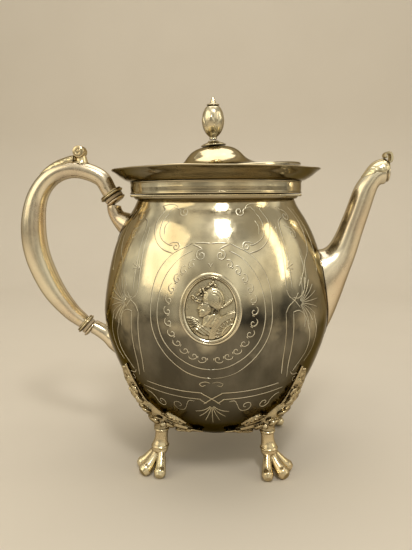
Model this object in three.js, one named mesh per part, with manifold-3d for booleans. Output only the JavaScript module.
// Footed silver-plated teapot: an egg-shaped body on four paw feet, with a gooseneck spout,
// a hollow loop handle set on insulated sockets, a flared rim and a hinged domed lid.
// Millimetres, +Z up. Shapes are drawn about the pot's own axis, with the spout towards +X and the
// handle towards -X, and the whole object is then centred on the middle of its footprint.
import * as THREE from 'three';
import { mergeVertices } from 'three/addons/utils/BufferGeometryUtils.js';
import Module from 'manifold-3d';

const wasm = await Module();
wasm.setup();

// ---------------------------------------------------------------- driving dimensions
const GAP = 0.3; // soldered or seated pieces stand this far apart
const WALL = 1.4; // spun body wall
const SHEET = 1.2; // rim, collar and lid sheet
const ROUND = 32; // segments round the large turned pieces
const SMALL_ROUND = 12; // segments round the small turned pieces

// radius of the body's outside at each height, from the base seam to the neck
const BODY_KNOTS = [
  [21, 26.7], [24, 32.4], [29, 38.8], [36, 46.3], [46, 54.1], [58, 60.6], [70, 65.3], [82, 68.9],
  [94, 70.2], [106, 69.1], [118, 67.0], [130, 64.0], [140, 60.5], [150, 55.5], [158, 50.4], [163, 48.1],
];
const BODY_LIP_Z = 165.7;
const BASE_Z = 18.8;
const NECK_BORE = 47.2; // inside radius of the collar's and the rim's ledges
const COLLAR = { bottom: 166, top: 173, radius: 52.8 };
const RIM = { bottom: 173.3, edgeZ: 180.9, edgeRadius: 63.8 };
const BEAD_WIRE = { radius: 52, z: 164.9, wire: 0.8 };

const HINGE = { x: -53.2, z: 177.9, knuckle: 1.7, bore: 1.05, pin: 0.75, halfWidth: 9.7, lidHalfWidth: 3.9 };
const LID_AJAR = THREE.MathUtils.degToRad(4.5); // how far the lid stands open at rest
const LID = { radius: 52, seat: 174.7, bezelOuter: 45.5, bezelInner: 44.3, bezelBottom: 166.5 };
const FINIAL_TOP = 224;

const FOOT_ANGLE = THREE.MathUtils.degToRad(45);
const ANKLE_RADIUS = 45.5; // from the pot's axis to the middle of a foot's shank
const MOUNT_BOTTOM = 26.8; // where a foot's shank meets its mount

const MEDALLION = { z: 107.3, halfWidth: 16.2, halfHeight: 18.7, band: 3.2 };

// handle centre line in the X-Z plane, from the upper end to the lower end, with the tube's radius
const HANDLE = [
  [-66.6, 167.4, 4.9], [-73, 176.8, 5.2], [-89, 181.7, 5.4], [-103.3, 177.3, 5.7], [-113.1, 165.3, 6.4],
  [-117, 147, 7.7], [-115.3, 127.5, 7.9], [-107, 106.8, 7.3], [-96, 91.8, 5.8], [-86.7, 83.6, 4.6],
];
const HANDLE_WALL = 1.1;
const HANDLE_STEPS = 20;
const HANDLE_SIDES = 10;
const SPIGOT = 2.3; // radius of each socket's stub inside the handle

// spout cross-sections: upper edge [x, z], lower edge [x, z], half width across
const SPOUT = [
  [[104.9, 182.8], [105.0, 172.9], 5.0],
  [[102.6, 184.4], [103.2, 171.4], 5.7],
  [[98.6, 183.7], [100.6, 170.8], 6.0],
  [[94.4, 181.3], [99.2, 169.4], 6.2],
  [[90.6, 177.3], [98.3, 167.4], 6.3],
  [[85.3, 169.6], [96.9, 162.8], 6.4],
  [[80.0, 154.8], [93.7, 151.6], 6.9],
  [[75.0, 141.8], [90.4, 140.4], 7.6],
  [[71.0, 134.6], [86.9, 127.6], 9.0],
  [[67.3, 131.6], [82.4, 114.2], 11.5],
  [[63.5, 131.0], [77.6, 99.6], 14.0],
  [[60.0, 130.0], [72.6, 86.4], 15.5],
  [[56.0, 128.0], [66.5, 74.0], 15.5],
];
const SPOUT_WALL = 1.2;
const SPOUT_STEPS = 14;
const SPOUT_SIDES = 14;

// the hood over the spout's mouth, from the mouth back: half its spread in degrees, and its rise
const HOOD = [[62, 1.5], [86, 1.9], [82, 1.9], [72, 1.9], [58, 1.9], [36, 1.6], [9, 0.9]];
const HOOD_CURL = [
  [104.3, 183.7, 8, 1.3], [105.9, 185.1, 7.6, 1.3], [106.2, 187.4, 7.2, 1.3], [105.6, 189.3, 6.8, 1.3],
  [104, 190, 6.4, 1.2], [102.6, 189.2, 6, 1.1], [102, 188, 5.6, 1],
];

// the leaf on the handle's crown: how far along the handle, half its spread in degrees, and its rise
const THUMB_LEAF = [
  [1.98, 44, 3.4], [2.15, 48, 2.8], [2.35, 50, 2.1], [2.6, 48, 1.8], [2.85, 42, 1.5], [3.1, 30, 1.1], [3.3, 10, 0.8],
];
const THUMB_ROLL = { x: -84.9, z: 192.5, radius: 3.6, halfWidth: 4.3 };
const UNDER_LEAF = GAP + 0.05; // how far a wrapped leaf stands off the tube below it

// ---------------------------------------------------------------- finishes
const finish = (color, roughness, metalness) => new THREE.MeshStandardMaterial({ color, roughness, metalness });
const bodySilver = () => finish(0xb9a888, 0.26, 1);
const trimSilver = () => finish(0xc8b48c, 0.3, 1);
const castSilver = () => finish(0xb4976a, 0.4, 1);
const innerSilver = () => finish(0x9d9482, 0.45, 1);
const insulation = () => finish(0xd8cdb4, 0.55, 0);

// ---------------------------------------------------------------- geometry helpers
const vector = (x, y, z) => new THREE.Vector3(x, y, z);

// one closed, welded skin whose faces point outwards
function closedSkin(source) {
  const bare = source.clone();
  bare.deleteAttribute('normal');
  bare.deleteAttribute('uv');
  const welded = mergeVertices(bare, 1e-4);
  const corners = welded.index.array;
  const index = [];
  for (let i = 0; i < corners.length; i += 3) {
    const [a, b, c] = [corners[i], corners[i + 1], corners[i + 2]];
    if (a !== b && b !== c && c !== a) index.push(a, b, c);
  }
  const points = welded.attributes.position;
  const at = (i) => new THREE.Vector3().fromBufferAttribute(points, i);
  let volume = 0;
  for (let i = 0; i < index.length; i += 3) {
    volume += at(index[i]).dot(at(index[i + 1]).cross(at(index[i + 2])));
  }
  if (volume < 0) index.reverse();
  welded.setIndex(index);
  return welded;
}

function toSolid(geometry) {
  const skin = closedSkin(geometry);
  const vertProperties = new Float32Array(skin.attributes.position.array);
  const triVerts = new Uint32Array(skin.index.array);
  return new wasm.Manifold(new wasm.Mesh({ numProp: 3, vertProperties, triVerts }));
}

function fromSolid(solid) {
  const mesh = solid.getMesh();
  const geometry = new THREE.BufferGeometry();
  geometry.setAttribute('position', new THREE.BufferAttribute(new Float32Array(mesh.vertProperties), 3));
  geometry.setIndex(new THREE.BufferAttribute(new Uint32Array(mesh.triVerts), 1));
  return geometry;
}

const cut = (geometry, ...tools) =>
  fromSolid(tools.reduce((solid, tool) => solid.subtract(toSolid(tool)), toSolid(geometry)));
const join = (...geometries) =>
  fromSolid(geometries.map(toSolid).reduce((whole, piece) => whole.add(piece)));

// a profile of [radius, z] points turned about +Z; it starts and ends on the axis
function turned(profile, segments = ROUND) {
  const points = profile.map(([radius, z]) => new THREE.Vector2(radius, z));
  return new THREE.LatheGeometry(points, segments).rotateX(Math.PI / 2);
}

// a ring whose closed section is a list of [radius, z] points
const turnedRing = (section, segments = ROUND) => turned([...section, section[0]], segments);

// rings of equal numbers of points joined into a skin; closed joins the last ring to the first
function loft(rings, closed = false) {
  const sides = rings[0].length;
  const points = rings.flat();
  const index = [];
  const bands = closed ? rings.length : rings.length - 1;
  for (let i = 0; i < bands; i += 1) {
    const next = (i + 1) % rings.length;
    for (let j = 0; j < sides; j += 1) {
      const k = (j + 1) % sides;
      index.push(i * sides + j, i * sides + k, next * sides + k);
      index.push(i * sides + j, next * sides + k, next * sides + j);
    }
  }
  if (!closed) {
    for (const [start, flip] of [[0, true], [(rings.length - 1) * sides, false]]) {
      const ring = points.slice(start, start + sides);
      const middle = ring.reduce((sum, p) => sum.add(p), vector(0, 0, 0)).divideScalar(sides);
      const hub = points.push(middle) - 1;
      for (let j = 0; j < sides; j += 1) {
        const pair = [start + j, start + ((j + 1) % sides)];
        index.push(...(flip ? pair.reverse() : pair), hub);
      }
    }
  }
  const geometry = new THREE.BufferGeometry().setFromPoints(points);
  geometry.setIndex(index);
  return geometry;
}

// an ellipse of points about a centre, along two half-axis vectors
function ellipse(centre, halfA, halfB, sides) {
  return Array.from({ length: sides }, (_, j) => {
    const turn = (2 * Math.PI * j) / sides;
    return centre.clone().addScaledVector(halfA, Math.cos(turn)).addScaledVector(halfB, Math.sin(turn));
  });
}

// a round bar along a smooth path of [x, y, z, radius] stations
function taperedBar(stations, steps, sides) {
  const path = new THREE.CatmullRomCurve3(stations.map(([x, y, z]) => vector(x, y, z)), false, 'catmullrom');
  const radii = new THREE.SplineCurve(stations.map(([, , , radius], i) => new THREE.Vector2(i, radius)));
  const rings = [];
  for (let i = 0; i <= steps; i += 1) {
    const t = i / steps;
    const tangent = path.getTangent(t);
    const reference = Math.abs(tangent.y) > 0.9 ? vector(1, 0, 0) : vector(0, 1, 0);
    const across = reference.cross(tangent).normalize();
    const up = tangent.clone().cross(across);
    const radius = radii.getPoint(t).y;
    rings.push(ellipse(path.getPoint(t), across.multiplyScalar(radius), up.multiplyScalar(radius), sides));
  }
  return rings;
}

// a crowned strip bent along a path of [x, z, width, thickness] stations in the X-Z plane
function ribbon(stations, steps) {
  const path = new THREE.CatmullRomCurve3(stations.map(([x, z]) => vector(x, 0, z)), false, 'catmullrom');
  const sizes = new THREE.SplineCurve(stations.map(([, , width, thick]) => new THREE.Vector2(width, thick)));
  const rings = [];
  for (let i = 0; i <= steps; i += 1) {
    const t = i / steps;
    const centre = path.getPoint(t);
    const tangent = path.getTangent(t);
    const outward = vector(-tangent.z, 0, tangent.x);
    const { x: width, y: thick } = sizes.getPoint(t);
    const section = [[-0.5, -0.5], [0.5, -0.5], [0.5, 0], [0.2, 0.5], [-0.2, 0.5], [-0.5, 0]];
    rings.push(section.map(([a, b]) =>
      centre.clone().addScaledVector(outward, b * thick).add(vector(0, a * width, 0))));
  }
  return loft(rings);
}

// a leaf wrapped over a tube: for each section the tube's centre and half-axis vectors outwards and
// across, and the leaf's half spread and its rise in the middle
function wrappedLeaf(sections) {
  const strips = 6;
  const rings = sections.map(({ centre, outward, across, spread, rise }) => {
    const arc = (lift) => Array.from({ length: strips + 1 }, (_, k) => {
      const side = (2 * k) / strips - 1;
      return centre.clone()
        .addScaledVector(outward, (1 + lift(side) / outward.length()) * Math.cos(side * spread))
        .addScaledVector(across, (1 + lift(side) / across.length()) * Math.sin(side * spread));
    });
    const over = (side) => UNDER_LEAF + (rise - UNDER_LEAF) * (1 - 0.6 * side ** 2);
    return [...arc(() => UNDER_LEAF), ...arc(over).reverse()];
  });
  return loft(rings);
}

// smooth radius of the body at a height, by a cubic through the knots
function bodyRadius(z) {
  const last = BODY_KNOTS.length - 1;
  const slope = (i) => {
    const [a, b] = [BODY_KNOTS[Math.max(i - 1, 0)], BODY_KNOTS[Math.min(i + 1, last)]];
    return (b[1] - a[1]) / (b[0] - a[0]);
  };
  let i = 0;
  while (i < last - 1 && z > BODY_KNOTS[i + 1][0]) i += 1;
  const [[z0, r0], [z1, r1]] = [BODY_KNOTS[i], BODY_KNOTS[i + 1]];
  const span = z1 - z0;
  const t = (z - z0) / span;
  const [t2, t3] = [t * t, t * t * t];
  return (2 * t3 - 3 * t2 + 1) * r0 + (t3 - 2 * t2 + t) * span * slope(i)
    + (3 * t2 - 2 * t3) * r1 + (t3 - t2) * span * slope(i + 1);
}

// a point standing "lift" off the body's outside, at an angle from +X and a height
function onBody(angle, z, lift) {
  const radius = bodyRadius(z) + lift;
  return vector(radius * Math.cos(angle), radius * Math.sin(angle), z);
}

// the body as a plain solid, grown by an offset: what attached pieces are trimmed back from
function bodyKeepOut(offset) {
  const heights = BODY_KNOTS.map(([z]) => z);
  const side = heights.map((z) => [bodyRadius(z) + offset, z]);
  return turned([[0, BASE_Z - offset], [18, BASE_Z - offset], ...side, [bodyRadius(163) + offset, 170], [0, 170]]);
}

const mirrored = (geometry, x, y) => closedSkin(geometry.clone().scale(x, y, 1));

// ---------------------------------------------------------------- body, base, neck and rim
function bodyShell() {
  const outside = BODY_KNOTS.map(([z]) => [bodyRadius(z), z]);
  const thick = (z) => WALL * Math.hypot(1, bodyRadius(z + 0.5) - bodyRadius(z - 0.5));
  const insideHeights = BODY_KNOTS.map(([z]) => z).filter((_, i) => i % 2 === 1).reverse();
  const inside = insideHeights.map((z) => [bodyRadius(z) - thick(z), z]);
  const neck = bodyRadius(163);
  const skin = turnedRing([
    ...outside, [neck, BODY_LIP_Z], [neck - WALL, BODY_LIP_Z], ...inside, [23.6, 21],
  ]);
  return cut(skin, ...strainerHoles());
}

// the strainer: rows of holes through the wall behind the spout
function strainerHoles() {
  const rows = [[98, 1], [106, 0], [114, 1]];
  return rows.flatMap(([z, staggered]) => {
    const offsets = staggered ? [-3, 3] : [-6, 0, 6];
    return offsets.map((y) =>
      new THREE.CylinderGeometry(1.8, 1.8, 16, 6).rotateZ(Math.PI / 2).translate(bodyRadius(z), y, z));
  });
}

const baseDisc = () => turned([[0, BASE_Z], [17, BASE_Z], [22.5, 19.5], [26.5, 20.7], [0, 20.7]], 40);

const neckMoulding = () => turnedRing([
  [48.7, 165.6], [50.7, 165.6], [50.7, 164.2], [50.1, 163.2], [49.1, 162.6], [48.7, 162.9],
]);

function beadWire() {
  const { radius, z, wire } = BEAD_WIRE;
  return new THREE.TorusGeometry(radius, wire, 5, ROUND).translate(0, 0, z);
}

function neckCollar() {
  const { bottom, top, radius } = COLLAR;
  return turnedRing([
    [NECK_BORE, bottom], [radius, bottom], [radius, top], [radius - SHEET, top],
    [radius - SHEET, bottom + SHEET], [NECK_BORE, bottom + SHEET],
  ]);
}

function flaredRim() {
  const { bottom, edgeZ, edgeRadius } = RIM;
  const ledge = bottom + SHEET - 0.1;
  return turnedRing([
    [NECK_BORE, bottom], [52.8, bottom], [55.4, 174.2], [58.6, 176.2], [61.4, 178.6], [edgeRadius - 0.2, edgeZ - 0.7],
    [edgeRadius, edgeZ - 0.2], [edgeRadius - 0.6, edgeZ],
    [60.6, 179.2], [57.8, 177.0], [54.8, 175.2], [52.4, ledge], [NECK_BORE, ledge],
  ]);
}

// ---------------------------------------------------------------- spout
// centre, half-depth and half-width vectors of the spout at a station
function spoutAxes([upper, lower, half]) {
  const [top, bottom] = [vector(upper[0], 0, upper[1]), vector(lower[0], 0, lower[1])];
  const centre = top.clone().add(bottom).multiplyScalar(0.5);
  return { centre, outward: top.sub(bottom).multiplyScalar(0.5), across: vector(0, half, 0) };
}

function spoutSection(station, inset) {
  const { centre, outward, across } = spoutAxes(station);
  outward.setLength(outward.length() - inset);
  across.setLength(across.length() - inset);
  return ellipse(centre, outward, across, SPOUT_SIDES);
}

// stations between the listed cross-sections, on a smooth curve through their edges
function spoutStations() {
  const curve = (pick) => new THREE.CatmullRomCurve3(SPOUT.map(pick), false, 'catmullrom');
  const upper = curve(([top]) => vector(top[0], 0, top[1]));
  const lower = curve(([, bottom, half]) => vector(bottom[0], half, bottom[1]));
  return Array.from({ length: SPOUT_STEPS + 1 }, (_, i) => {
    const [a, b] = [upper.getPoint(i / SPOUT_STEPS), lower.getPoint(i / SPOUT_STEPS)];
    return [[a.x, a.z], [b.x, b.z], b.y];
  });
}

function spoutTube() {
  const outer = spoutStations().map((station) => spoutSection(station, 0));
  const inner = spoutStations().map((station) => spoutSection(station, SPOUT_WALL)).reverse();
  return cut(loft([...outer, ...inner], true), bodyKeepOut(GAP));
}

// the applied hood leaf wrapped over the mouth, ending in a curl rolled back over itself
function spoutLeaf() {
  const stations = spoutStations();
  const hood = wrappedLeaf(HOOD.map(([degrees, rise], i) => {
    return { ...spoutAxes(stations[i]), spread: THREE.MathUtils.degToRad(degrees), rise };
  }));
  const keepOut = loft(stations.map((station) => spoutSection(station, -GAP)));
  return cut(join(hood, ribbon(HOOD_CURL, 16)), keepOut);
}

// ---------------------------------------------------------------- handle
// where the handle's ends stand, and the lean from +Z of the way into the handle there
function handleJoint(t, sign) {
  const path = new THREE.CatmullRomCurve3(HANDLE.map(([x, z]) => vector(x, 0, z)), false, 'catmullrom');
  const [point, tangent] = [path.getPoint(t), path.getTangent(t)];
  return { x: point.x, z: point.z, tilt: Math.atan2(sign * tangent.x, sign * tangent.z) };
}
const UPPER_JOINT = handleJoint(0, 1);
const LOWER_JOINT = handleJoint(1, -1);
const PIN_SETBACK = 3.2;

function handleTube() {
  const stations = HANDLE.map(([x, z, radius]) => [x, 0, z, radius]);
  const hollow = stations.map(([x, y, z, radius]) => [x, y, z, radius - HANDLE_WALL]);
  const outer = taperedBar(stations, HANDLE_STEPS, HANDLE_SIDES);
  const inner = taperedBar(hollow, HANDLE_STEPS, HANDLE_SIDES).reverse();
  const drills = [UPPER_JOINT, LOWER_JOINT].map((joint) => pinAt(joint, 1.1, 24));
  return cut(loft([...outer, ...inner], true), ...drills);
}

function pinAt({ x, z, tilt }, radius, length) {
  const pin = new THREE.CylinderGeometry(radius, radius, length, 10);
  return pin.translate(PIN_SETBACK * Math.sin(tilt), 0, PIN_SETBACK * Math.cos(tilt)).translate(x, 0, z);
}

// a turned piece drawn along +Z from the joint, set on the joint's axis
const onJoint = ({ x, z, tilt }, geometry) => geometry.rotateY(tilt).translate(x, 0, z);

const ferrule = (joint, radius) => onJoint(joint, turnedRing([
  [SPIGOT + GAP, -3.0], [radius - 1.3, -3.0], [radius - 0.3, -2.6], [radius, -1.8], [radius - 0.3, -1.0],
  [radius - 1.3, -GAP], [SPIGOT + GAP, -GAP],
], SMALL_ROUND));

const insulator = (joint, radius) => onJoint(joint, turnedRing([
  [SPIGOT + GAP, -5.1], [radius, -5.1], [radius, -3.3], [SPIGOT + GAP, -3.3],
], SMALL_ROUND));

// a socket: the spigot inside the handle, a flange, and a bar down to the body
function socket(joint, flange, stations) {
  const stub = onJoint(joint, turned([
    [0, 5.4], [SPIGOT, 5.4], [SPIGOT, -5.4], [flange - 0.8, -5.4], [flange, -6.0], [flange, -6.8],
    [flange - 0.9, -7.5], [0, -7.5],
  ], SMALL_ROUND));
  const arm = loft(taperedBar(stations, 5, 10));
  return cut(join(stub, arm), bodyKeepOut(GAP), pinAt(joint, 1.1, 24));
}

const upperSocket = () => socket(UPPER_JOINT, 6.6, [
  [-63.8, 0, 159.4, 4.1], [-64.2, 0, 157, 4.4], [-62, 0, 152, 5.0], [-56.5, 0, 147.5, 7.4], [-50, 0, 144, 9],
]);
const lowerSocket = () => socket(LOWER_JOINT, 6.2, [
  [-79.9, 0, 80.4, 4.5], [-76, 0, 78.2, 4.7], [-71, 0, 75.4, 5.6], [-66, 0, 72.6, 7.6], [-60, 0, 69, 8.5],
]);

// the handle's centre and its half-axis vectors outwards and across, at a place along its stations
function handleAxes(place) {
  const t = place / (HANDLE.length - 1);
  const path = new THREE.CatmullRomCurve3(HANDLE.map(([x, z]) => vector(x, 0, z)), false, 'catmullrom');
  const radii = new THREE.SplineCurve(HANDLE.map(([, , radius], i) => new THREE.Vector2(i, radius)));
  const [tangent, radius] = [path.getTangent(t), radii.getPoint(t).y];
  return {
    centre: path.getPoint(t),
    outward: vector(tangent.z, 0, -tangent.x).setLength(radius),
    across: vector(0, radius, 0),
  };
}

// thumb rest: a leaf lying on the crown of the handle, and the solid scroll it rises to
function thumbLeaf() {
  const leaf = wrappedLeaf(THUMB_LEAF.map(([place, degrees, rise]) => {
    return { ...handleAxes(place), spread: THREE.MathUtils.degToRad(degrees), rise };
  }));
  return cut(leaf, handleKeepOut());
}

function thumbScroll() {
  const { x, z, radius, halfWidth } = THUMB_ROLL;
  const roll = new THREE.CylinderGeometry(radius, radius, 2 * halfWidth, 14).translate(x, 0, z);
  const foot = loft(taperedBar([[-84.2, 0, 191.2, 2.8], [-82.9, 0, 188.6, 2.5], [-81.8, 0, 186, 2.2]], 4, 8));
  return cut(join(roll, foot), handleKeepOut());
}

const handleKeepOut = () =>
  loft(taperedBar(HANDLE.map(([x, z, radius]) => [x, 0, z, radius + GAP]), HANDLE_STEPS, HANDLE_SIDES));

// ---------------------------------------------------------------- feet
// a foot is drawn with its length along +X, then turned to its own quarter of the pot
// toes as stations of [out, across, z, radius], from under the cuff to the tip
const MIDDLE_TOE = [
  [47.2, 0, 13.4, 3.2], [51, 0, 9.2, 3.6], [55.2, 0, 4.8, 3.8], [58.2, 0, 2.4, 3.5], [60.6, 0, 0.8, 2],
];
const SIDE_TOE = [
  [46.8, 2.2, 13.2, 2.7], [49.4, 4.8, 9.2, 3.2], [52, 7.4, 4.4, 3.4], [54, 9, 2, 3], [55.6, 10.2, 0.8, 1.8],
];

function pawFoot() {
  const shank = loft(taperedBar([
    [44.8, 0, MOUNT_BOTTOM + 1, 4.7], [45.2, 0, 22, 4.1], [45.8, 0, 17.6, 4.3], [46.6, 0, 14.4, 5.2],
    [47.4, 0, 12.2, 4.8],
  ], 5, 8));
  const pad = new THREE.SphereGeometry(5.6, 8, 6).scale(1.1, 1, 1.1).translate(48.4, 0, 8.2);
  const otherToe = SIDE_TOE.map(([out, across, z, radius]) => [out, -across, z, radius]);
  const toes = [MIDDLE_TOE, SIDE_TOE, otherToe].map((stations) => loft(taperedBar(stations, 5, 8)));
  const ground = new THREE.BoxGeometry(60, 60, 20).translate(50, 0, -10);
  const above = new THREE.BoxGeometry(60, 60, 20).translate(50, 0, MOUNT_BOTTOM - GAP + 10);
  return cut(join(shank, pad, ...toes), ground, above).rotateZ(-FOOT_ANGLE);
}

// a strip cast to the body's curve: stations of [angle past the foot, z, width, lift off the body]
function bodyStrip(stations, steps) {
  const degrees = THREE.MathUtils.degToRad;
  const path = new THREE.CatmullRomCurve3(stations.map(([turn, z]) => vector(turn, z, 0)), false, 'catmullrom');
  const sizes = new THREE.SplineCurve(stations.map(([, , width, lift]) => new THREE.Vector2(width, lift)));
  const rings = [];
  for (let i = 0; i <= steps; i += 1) {
    const t = i / steps;
    const { x: turn, y: z } = path.getPoint(t);
    const heading = path.getTangent(t);
    const perDegree = degrees(1) * bodyRadius(z);
    const along = new THREE.Vector2(heading.x * perDegree, heading.y).normalize();
    const { x: width, y: lift } = sizes.getPoint(t);
    const section = [[-0.5, -1.2], [0.5, -1.2], [0.5, 0.35 * lift], [0.18, lift], [-0.18, lift], [-0.5, 0.35 * lift]];
    rings.push(section.map(([side, height]) => {
      const angle = degrees(turn + (side * width * along.y) / perDegree) - FOOT_ANGLE;
      return onBody(angle, z - side * width * along.x, height);
    }));
  }
  return loft(rings);
}

// the cast mount that carries a foot: a knee, a tall arm up the body and a low arm along its underside
function footMount() {
  const tallArm = bodyStrip([
    [1, 29.5, 13, 5.6], [5, 36, 15, 5.8], [9.2, 44, 13.5, 4.4], [8.2, 56, 8.6, 3.2], [5.8, 69, 2, 1],
  ], 6);
  const lowArm = bodyStrip([
    [3, 30, 9, 5], [-6, 28.4, 8, 3.8], [-17, 26.6, 6, 3], [-26, 25.6, 4.5, 2.6], [-33, 27.4, 1.6, 0.9],
  ], 5);
  const knee = loft(taperedBar([
    [44.6, 0, MOUNT_BOTTOM, 5.6], [44.8, 0, 28.6, 6.4], [45, 0, 32, 6.6], [44, 0, 37, 5.4],
  ], 3, 8)).rotateZ(-FOOT_ANGLE);
  const shankRoom = new THREE.CylinderGeometry(9, 9, 30, 12).rotateX(Math.PI / 2)
    .translate(ANKLE_RADIUS, 0, MOUNT_BOTTOM - 15).rotateZ(-FOOT_ANGLE);
  const berry = new THREE.SphereGeometry(2.7, 7, 5).translate(...onBody(-FOOT_ANGLE - 0.21, 25.4, 2.2).toArray());
  const cast = join(tallArm, lowArm, knee, berry);
  return cut(cast, bodyKeepOut(GAP), shankRoom);
}

// ---------------------------------------------------------------- medallions
// a point on the front of the body, from the medallion's centre: across, up and lift
function onFront(across, up, lift) {
  return onBody(across / bodyRadius(MEDALLION.z) - Math.PI / 2, MEDALLION.z + up, lift);
}

function medallionFrame() {
  const { halfWidth, halfHeight, band } = MEDALLION;
  const section = [[0, 0.35], [0, 1.1], [0.3, 1.9], [0.7, 1.9], [1, 1.1], [1, 0.35]];
  const rings = Array.from({ length: 28 }, (_, i) => {
    const turn = (2 * Math.PI * i) / 28;
    return section.map(([inward, lift]) =>
      onFront((halfWidth - inward * band) * Math.cos(turn), (halfHeight - inward * band) * Math.sin(turn), lift));
  });
  return loft(rings, true);
}

// soft mounds of the bust in relief: centre, half sizes and height
const BUST = [
  { at: [-1.4, 3.2], size: [5, 6.2], rise: 1.7 }, // head
  { at: [1.2, 7.0], size: [6.2, 5.0], rise: 1.9 }, // helmet
  { at: [0.8, -5.5], size: [3.4, 5.0], rise: 1.3 }, // neck
  { at: [-4.8, -9.8], size: [6.6, 4.6], rise: 1.4 }, // drapery
  { at: [6.4, -8.2], size: [6.2, 6.4], rise: 1.5 }, // shield
];

function reliefHeight(across, up) {
  const mounds = BUST.map(({ at, size, rise }) => {
    const far = ((across - at[0]) / size[0]) ** 2 + ((up - at[1]) / size[1]) ** 2;
    return rise * Math.sqrt(Math.max(0, 1 - far));
  });
  return 0.8 + Math.max(...mounds);
}

function medallionRelief() {
  const [wide, high] = [MEDALLION.halfWidth, MEDALLION.halfHeight].map((half) => half - MEDALLION.band - GAP);
  const oval = (scale, lift) => Array.from({ length: 18 }, (_, j) => {
    const turn = (2 * Math.PI * j) / 18;
    const [across, up] = [scale * wide * Math.cos(turn), scale * high * Math.sin(turn)];
    return onFront(across, up, lift(across, up));
  });
  const back = [0.04, 0.5, 1].map((scale) => oval(scale, () => GAP + 0.05));
  const front = [1, 0.84, 0.68, 0.52, 0.36, 0.2, 0.04].map((scale) =>
    oval(scale, scale === 1 ? () => 0.8 : reliefHeight));
  return loft([...back, ...front]);
}

// ---------------------------------------------------------------- hinge, lid and finial
const acrossHinge = (radius, from, to) =>
  new THREE.CylinderGeometry(radius, radius, to - from, 16).translate(HINGE.x, (from + to) / 2, HINGE.z);

function slab(x0, x1, y0, y1, z0, z1) {
  return new THREE.BoxGeometry(x1 - x0, y1 - y0, z1 - z0)
    .translate((x0 + x1) / 2, (y0 + y1) / 2, (z0 + z1) / 2);
}

function hingeBodyLeaf() {
  const { x, halfWidth, lidHalfWidth, knuckle, bore } = HINGE;
  const inner = lidHalfWidth + GAP;
  const [leafBottom, leafTop] = [177.75, 178.7];
  const plates = [[-1, -halfWidth, -inner], [1, inner, halfWidth]].flatMap(([, from, to]) => [
    acrossHinge(knuckle, from, to),
    slab(x - 3.6, x, from, to, leafBottom, leafTop),
  ]);
  const bridge = slab(x - 3.6, x - knuckle - GAP, -halfWidth, halfWidth, leafBottom, leafTop);
  return cut(join(...plates, bridge), acrossHinge(bore, -halfWidth - 1, halfWidth + 1));
}

function hingeLidLeaf() {
  const { x, lidHalfWidth, knuckle, bore } = HINGE;
  const strap = slab(x, x + 8, -lidHalfWidth, lidHalfWidth, 176.6, 177.6);
  const roll = acrossHinge(knuckle, -lidHalfWidth, lidHalfWidth);
  return cut(join(strap, roll), acrossHinge(bore, -lidHalfWidth - 1, lidHalfWidth + 1));
}

const hingePin = () => acrossHinge(HINGE.pin, -HINGE.halfWidth - 0.6, HINGE.halfWidth + 0.6);

// lid profile, outside, from the stud hole to the edge of the brim
const LID_PROFILE = [
  [2.2, 190.6], [7, 190.3], [11.2, 189.2], [14.4, 187.4], [16.8, 185.1], [18.8, 182.8], [21.4, 180.8],
  [25.2, 178.9], [31, 177.5], [40, 176.5], [LID.radius - 0.6, 175.9], [LID.radius, 175.5],
];

function lidCover() {
  const under = [
    [LID.radius, LID.seat], [31, 176.3], [24.6, 177.7], [20.6, 179.6], [15.7, 184.3], [10.7, 187.9],
    [2.2, 189.3],
  ];
  return turnedRing([...LID_PROFILE, ...under]);
}

function lidBezel() {
  const { bezelOuter, bezelInner, bezelBottom, seat } = LID;
  return turnedRing([
    [bezelInner, bezelBottom], [bezelOuter, bezelBottom], [bezelOuter, seat - 0.1], [bezelInner, seat - 0.1],
  ]);
}

const finialBase = () => turned([
  [0, 182.4], [1.6, 182.4], [1.6, 190.9], [7.6, 190.9], [7.8, 191.5], [6.4, 192.1], [4.2, 192.9], [2.9, 194.1],
  [0, 194.1],
], SMALL_ROUND);

const finialWasher = () => turnedRing([[1.95, 187.7], [5, 187.7], [5, 188.7], [1.95, 188.7]], SMALL_ROUND);
const finialNut = () => turnedRing([[1.95, 184.4], [4.2, 184.4], [4.2, 187.3], [1.95, 187.3]], 6);

// the finial's stem is bent upright, so it stands plumb while the lid is ajar
const finialBody = () => turned([
  [0, 198.9], [2.5, 198.9], [2.3, 199.9], [2.9, 200.9], [4.7, 203], [6.2, 206.4], [6.8, 210.6], [6.3, 214.4],
  [4.9, 217.4], [3.9, 218.5], [0, 218.5],
], SMALL_ROUND);

const finialTip = () => turned([
  [0, 218.8], [3.2, 218.8], [4, 219.3], [3.4, 219.9], [1.7, 220.3], [1.2, 222.4], [0.7, FINIAL_TOP - 0.2], [0, FINIAL_TOP],
], SMALL_ROUND);

// ---------------------------------------------------------------- assembly
const pot = new THREE.Group();
const teapot = new THREE.Group();
teapot.add(pot);

function add(name, geometry, material, parent = pot) {
  const mesh = new THREE.Mesh(closedSkin(geometry), material);
  mesh.name = name;
  parent.add(mesh);
}

add('body_shell', bodyShell(), bodySilver());
add('base_disc', baseDisc(), bodySilver());
add('neck_moulding', neckMoulding(), trimSilver());
add('bead_wire', beadWire(), trimSilver());
add('neck_collar', neckCollar(), bodySilver());
add('flared_rim', flaredRim(), bodySilver());
add('spout_tube', spoutTube(), bodySilver());
add('spout_leaf', spoutLeaf(), castSilver());

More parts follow.
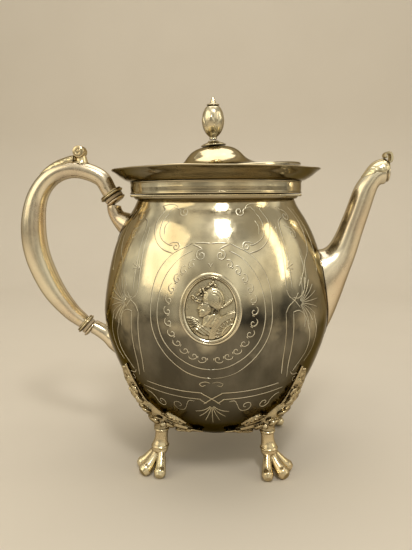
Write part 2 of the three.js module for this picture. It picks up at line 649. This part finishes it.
add('handle_tube', handleTube(), bodySilver());
add('thumb_leaf', thumbLeaf(), castSilver());
add('thumb_scroll', thumbScroll(), castSilver());
for (const [end, joint, radius] of [['upper', UPPER_JOINT, 7.8], ['lower', LOWER_JOINT, 7.0]]) {
  add(`${end}_ferrule`, ferrule(joint, radius), trimSilver());
  add(`${end}_insulator`, insulator(joint, radius - 1.6), insulation());
  add(`${end}_pin`, pinAt(joint, 0.8, 10.4), trimSilver());
}
add('upper_socket', upperSocket(), trimSilver());
add('lower_socket', lowerSocket(), trimSilver());

const [paw, mount] = [pawFoot(), footMount()];
for (const [place, x, y] of [['front_right', 1, 1], ['front_left', -1, 1], ['back_right', 1, -1], ['back_left', -1, -1]]) {
  add(`paw_foot_${place}`, mirrored(paw, x, y), castSilver());
  add(`foot_mount_${place}`, mirrored(mount, x, y), castSilver());
}

for (const [side, turn] of [['front', 0], ['back', Math.PI]]) {
  add(`medallion_frame_${side}`, medallionFrame().rotateZ(turn), trimSilver());
  add(`medallion_relief_${side}`, medallionRelief().rotateZ(turn), castSilver());
}

add('hinge_body_leaf', hingeBodyLeaf(), trimSilver());
add('hinge_pin', hingePin(), trimSilver());

// the lid is drawn shut and then swung open about the hinge
const swing = new THREE.Group();
swing.position.set(HINGE.x, 0, HINGE.z);
swing.rotation.y = -LID_AJAR;
const lid = new THREE.Group();
lid.position.set(-HINGE.x, 0, -HINGE.z);
swing.add(lid);
pot.add(swing);
add('hinge_lid_leaf', hingeLidLeaf(), trimSilver(), lid);
add('lid_cover', lidCover(), bodySilver(), lid);
add('lid_bezel', lidBezel(), innerSilver(), lid);
add('finial_base', finialBase(), trimSilver(), lid);
add('finial_washer', finialWasher(), innerSilver(), lid);
add('finial_nut', finialNut(), innerSilver(), lid);

const finial = new THREE.Group();
const stemTop = vector(-HINGE.x, 0, 194.1 - HINGE.z).applyAxisAngle(vector(0, 1, 0), -LID_AJAR);
finial.position.x = stemTop.x + HINGE.x;
pot.add(finial);
add('finial_body', finialBody(), trimSilver(), finial);
add('finial_tip', finialTip(), trimSilver(), finial);

// the origin is the middle of the object's footprint, on the surface that it stands on
teapot.updateMatrixWorld(true);
const extent = new THREE.Box3().setFromObject(pot);
pot.position.x = -(extent.min.x + extent.max.x) / 2;
teapot.updateMatrixWorld(true);

export default teapot;
